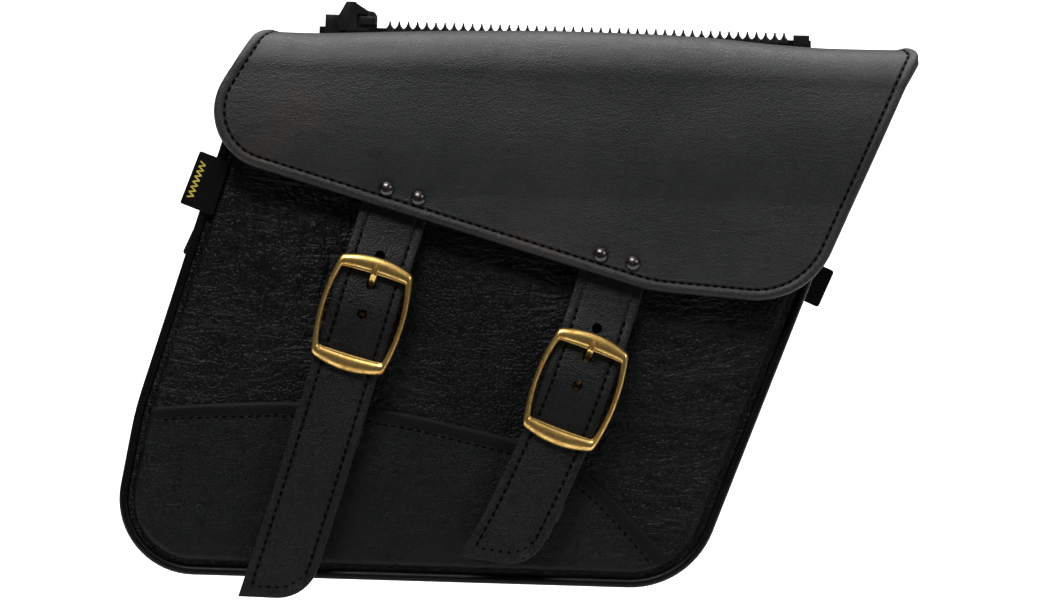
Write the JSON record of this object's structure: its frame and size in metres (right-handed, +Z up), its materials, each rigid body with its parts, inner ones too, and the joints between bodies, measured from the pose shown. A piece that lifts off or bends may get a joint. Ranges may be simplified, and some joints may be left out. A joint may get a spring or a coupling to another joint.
{
  "type": "saddlebag",
  "caption": "Slanted black leather motorcycle saddlebag with a hinged lid, stitched straps with brass buckles, hidden quick-release clips and a zip-on mounting tape.",
  "frame": {"origin": "centre of the back panel's flat outer face, which lies against the motorcycle", "axes": "+X to the right seen from the front, +Y out of the back face, +Z up"},
  "size_m": [0.3756, 0.16, 0.291],
  "materials": {
    "lid_leather": "smooth fine grain, soft satin",
    "trim_leather": "smooth, slightly glossy, stitched",
    "grained_leather": "coarse pebbled grain with creases",
    "body_leather": "light grain, satin",
    "strap_leather": "fine grain, stitched along both edges",
    "stiffener": "matt sheet",
    "lining": "woven lining",
    "webbing": "woven nylon",
    "zipper_plastic": "moulded, semi-gloss",
    "clip_plastic": "moulded",
    "label": "woven label with a plain yellow pattern",
    "rivet_metal": "polished black nickel",
    "buckle_brass": "cast, antique, tarnished in the pits"
  },
  "bodies": {
    "root": {"back_panel": "body_leather", "back_board": "stiffener", "gusset": "body_leather", "gusset_board": "stiffener", "front_board": "stiffener", "body_lining": "lining", "front_panel": "grained_leather", "front_piping": "trim_leather", "back_piping": "trim_leather", "lower_panel": "body_leather", "lower_panel_fold": "trim_leather", "hinge_strip": "lid_leather", "zipper_tape": "webbing", "zipper_teeth": "zipper_plastic", "zipper_box": "zipper_plastic", "zipper_end_stop": "zipper_plastic", "label_tag": "label", "side_tab_left": "webbing", "side_tab_right": "webbing", "clip_webbing_left": "webbing", "clip_webbing_right": "webbing"},
    "lid": {"lid_skin": "lid_leather", "lid_board": "stiffener", "lid_lining": "lining", "lid_binding": "trim_leather", "strap_head_left": "strap_leather", "strap_head_right": "strap_leather", "strap_rivets_left": "rivet_metal", "strap_rivets_right": "rivet_metal"},
    "zip_slider": {"zip_slider": "zipper_plastic"},
    "zip_pull": {"zip_pull": "zipper_plastic"},
    "strap_left": {"strap_left": "strap_leather", "chape_left": "strap_leather", "clip_plug_left": "clip_plastic"},
    "buckle_left": {"buckle_frame_left": "buckle_brass"},
    "tongue_left": {"buckle_tongue_left": "buckle_brass"},
    "clip_socket_left": {"clip_socket_left": "clip_plastic"},
    "strap_right": {"strap_right": "strap_leather", "chape_right": "strap_leather", "clip_plug_right": "clip_plastic"},
    "buckle_right": {"buckle_frame_right": "buckle_brass"},
    "tongue_right": {"buckle_tongue_right": "buckle_brass"},
    "clip_socket_right": {"clip_socket_right": "clip_plastic"}
  },
  "joints": [
    {"name": "lid_hinge", "type": "hinge", "parent": "root", "child": "lid", "pos_m": [0, -0.016, 0.13], "axis": [-1, 0, 0], "range_deg": [0, 90]},
    {"name": "zip_slide", "type": "slide", "parent": "root", "child": "zip_slider", "axis": [1, 0, 0], "range_m": [0, 0.207]},
    {"name": "zip_pull_swing", "type": "hinge", "parent": "zip_slider", "child": "zip_pull", "pos_m": [-0.0795, -0.0122, 0.1425], "axis": [0, 0, 1], "range_deg": [0, 180]},
    {"name": "strap_swing_left", "type": "hinge", "parent": "lid", "child": "strap_left", "pos_m": [-0.06224, -0.1472, 0.0376], "axis": [-0.9657, 0, 0.2597], "range_deg": [0, 60]},
    {"name": "buckle_tilt_left", "type": "hinge", "parent": "strap_left", "child": "buckle_left", "pos_m": [-0.0735, -0.1483, -0.0039], "axis": [0.9646, 0, -0.2639], "range_deg": [-1, 1]},
    {"name": "tongue_lift_left", "type": "hinge", "parent": "buckle_left", "child": "tongue_left", "pos_m": [-0.0735, -0.1483, -0.0039], "axis": [0.9646, 0, -0.2639], "range_deg": [0, 5]},
    {"name": "clip_slide_left", "type": "slide", "parent": "root", "child": "clip_socket_left", "axis": [0.2666, 0, 0.9638], "range_m": [0, 0.017]},
    {"name": "strap_swing_right", "type": "hinge", "parent": "lid", "child": "strap_right", "pos_m": [0.0407, -0.1472, 0.00473], "axis": [-0.9668, 0, 0.2556], "range_deg": [0, 60]},
    {"name": "buckle_tilt_right", "type": "hinge", "parent": "strap_right", "child": "buckle_right", "pos_m": [0.0282, -0.1483, -0.0364], "axis": [0.9455, 0, -0.3256], "range_deg": [-1, 1]},
    {"name": "tongue_lift_right", "type": "hinge", "parent": "buckle_right", "child": "tongue_right", "pos_m": [0.0282, -0.1483, -0.0364], "axis": [0.9455, 0, -0.3256], "range_deg": [0, 5]},
    {"name": "clip_slide_right", "type": "slide", "parent": "root", "child": "clip_socket_right", "axis": [0.371, 0, 0.9286], "range_m": [0, 0.017]}
  ]
}
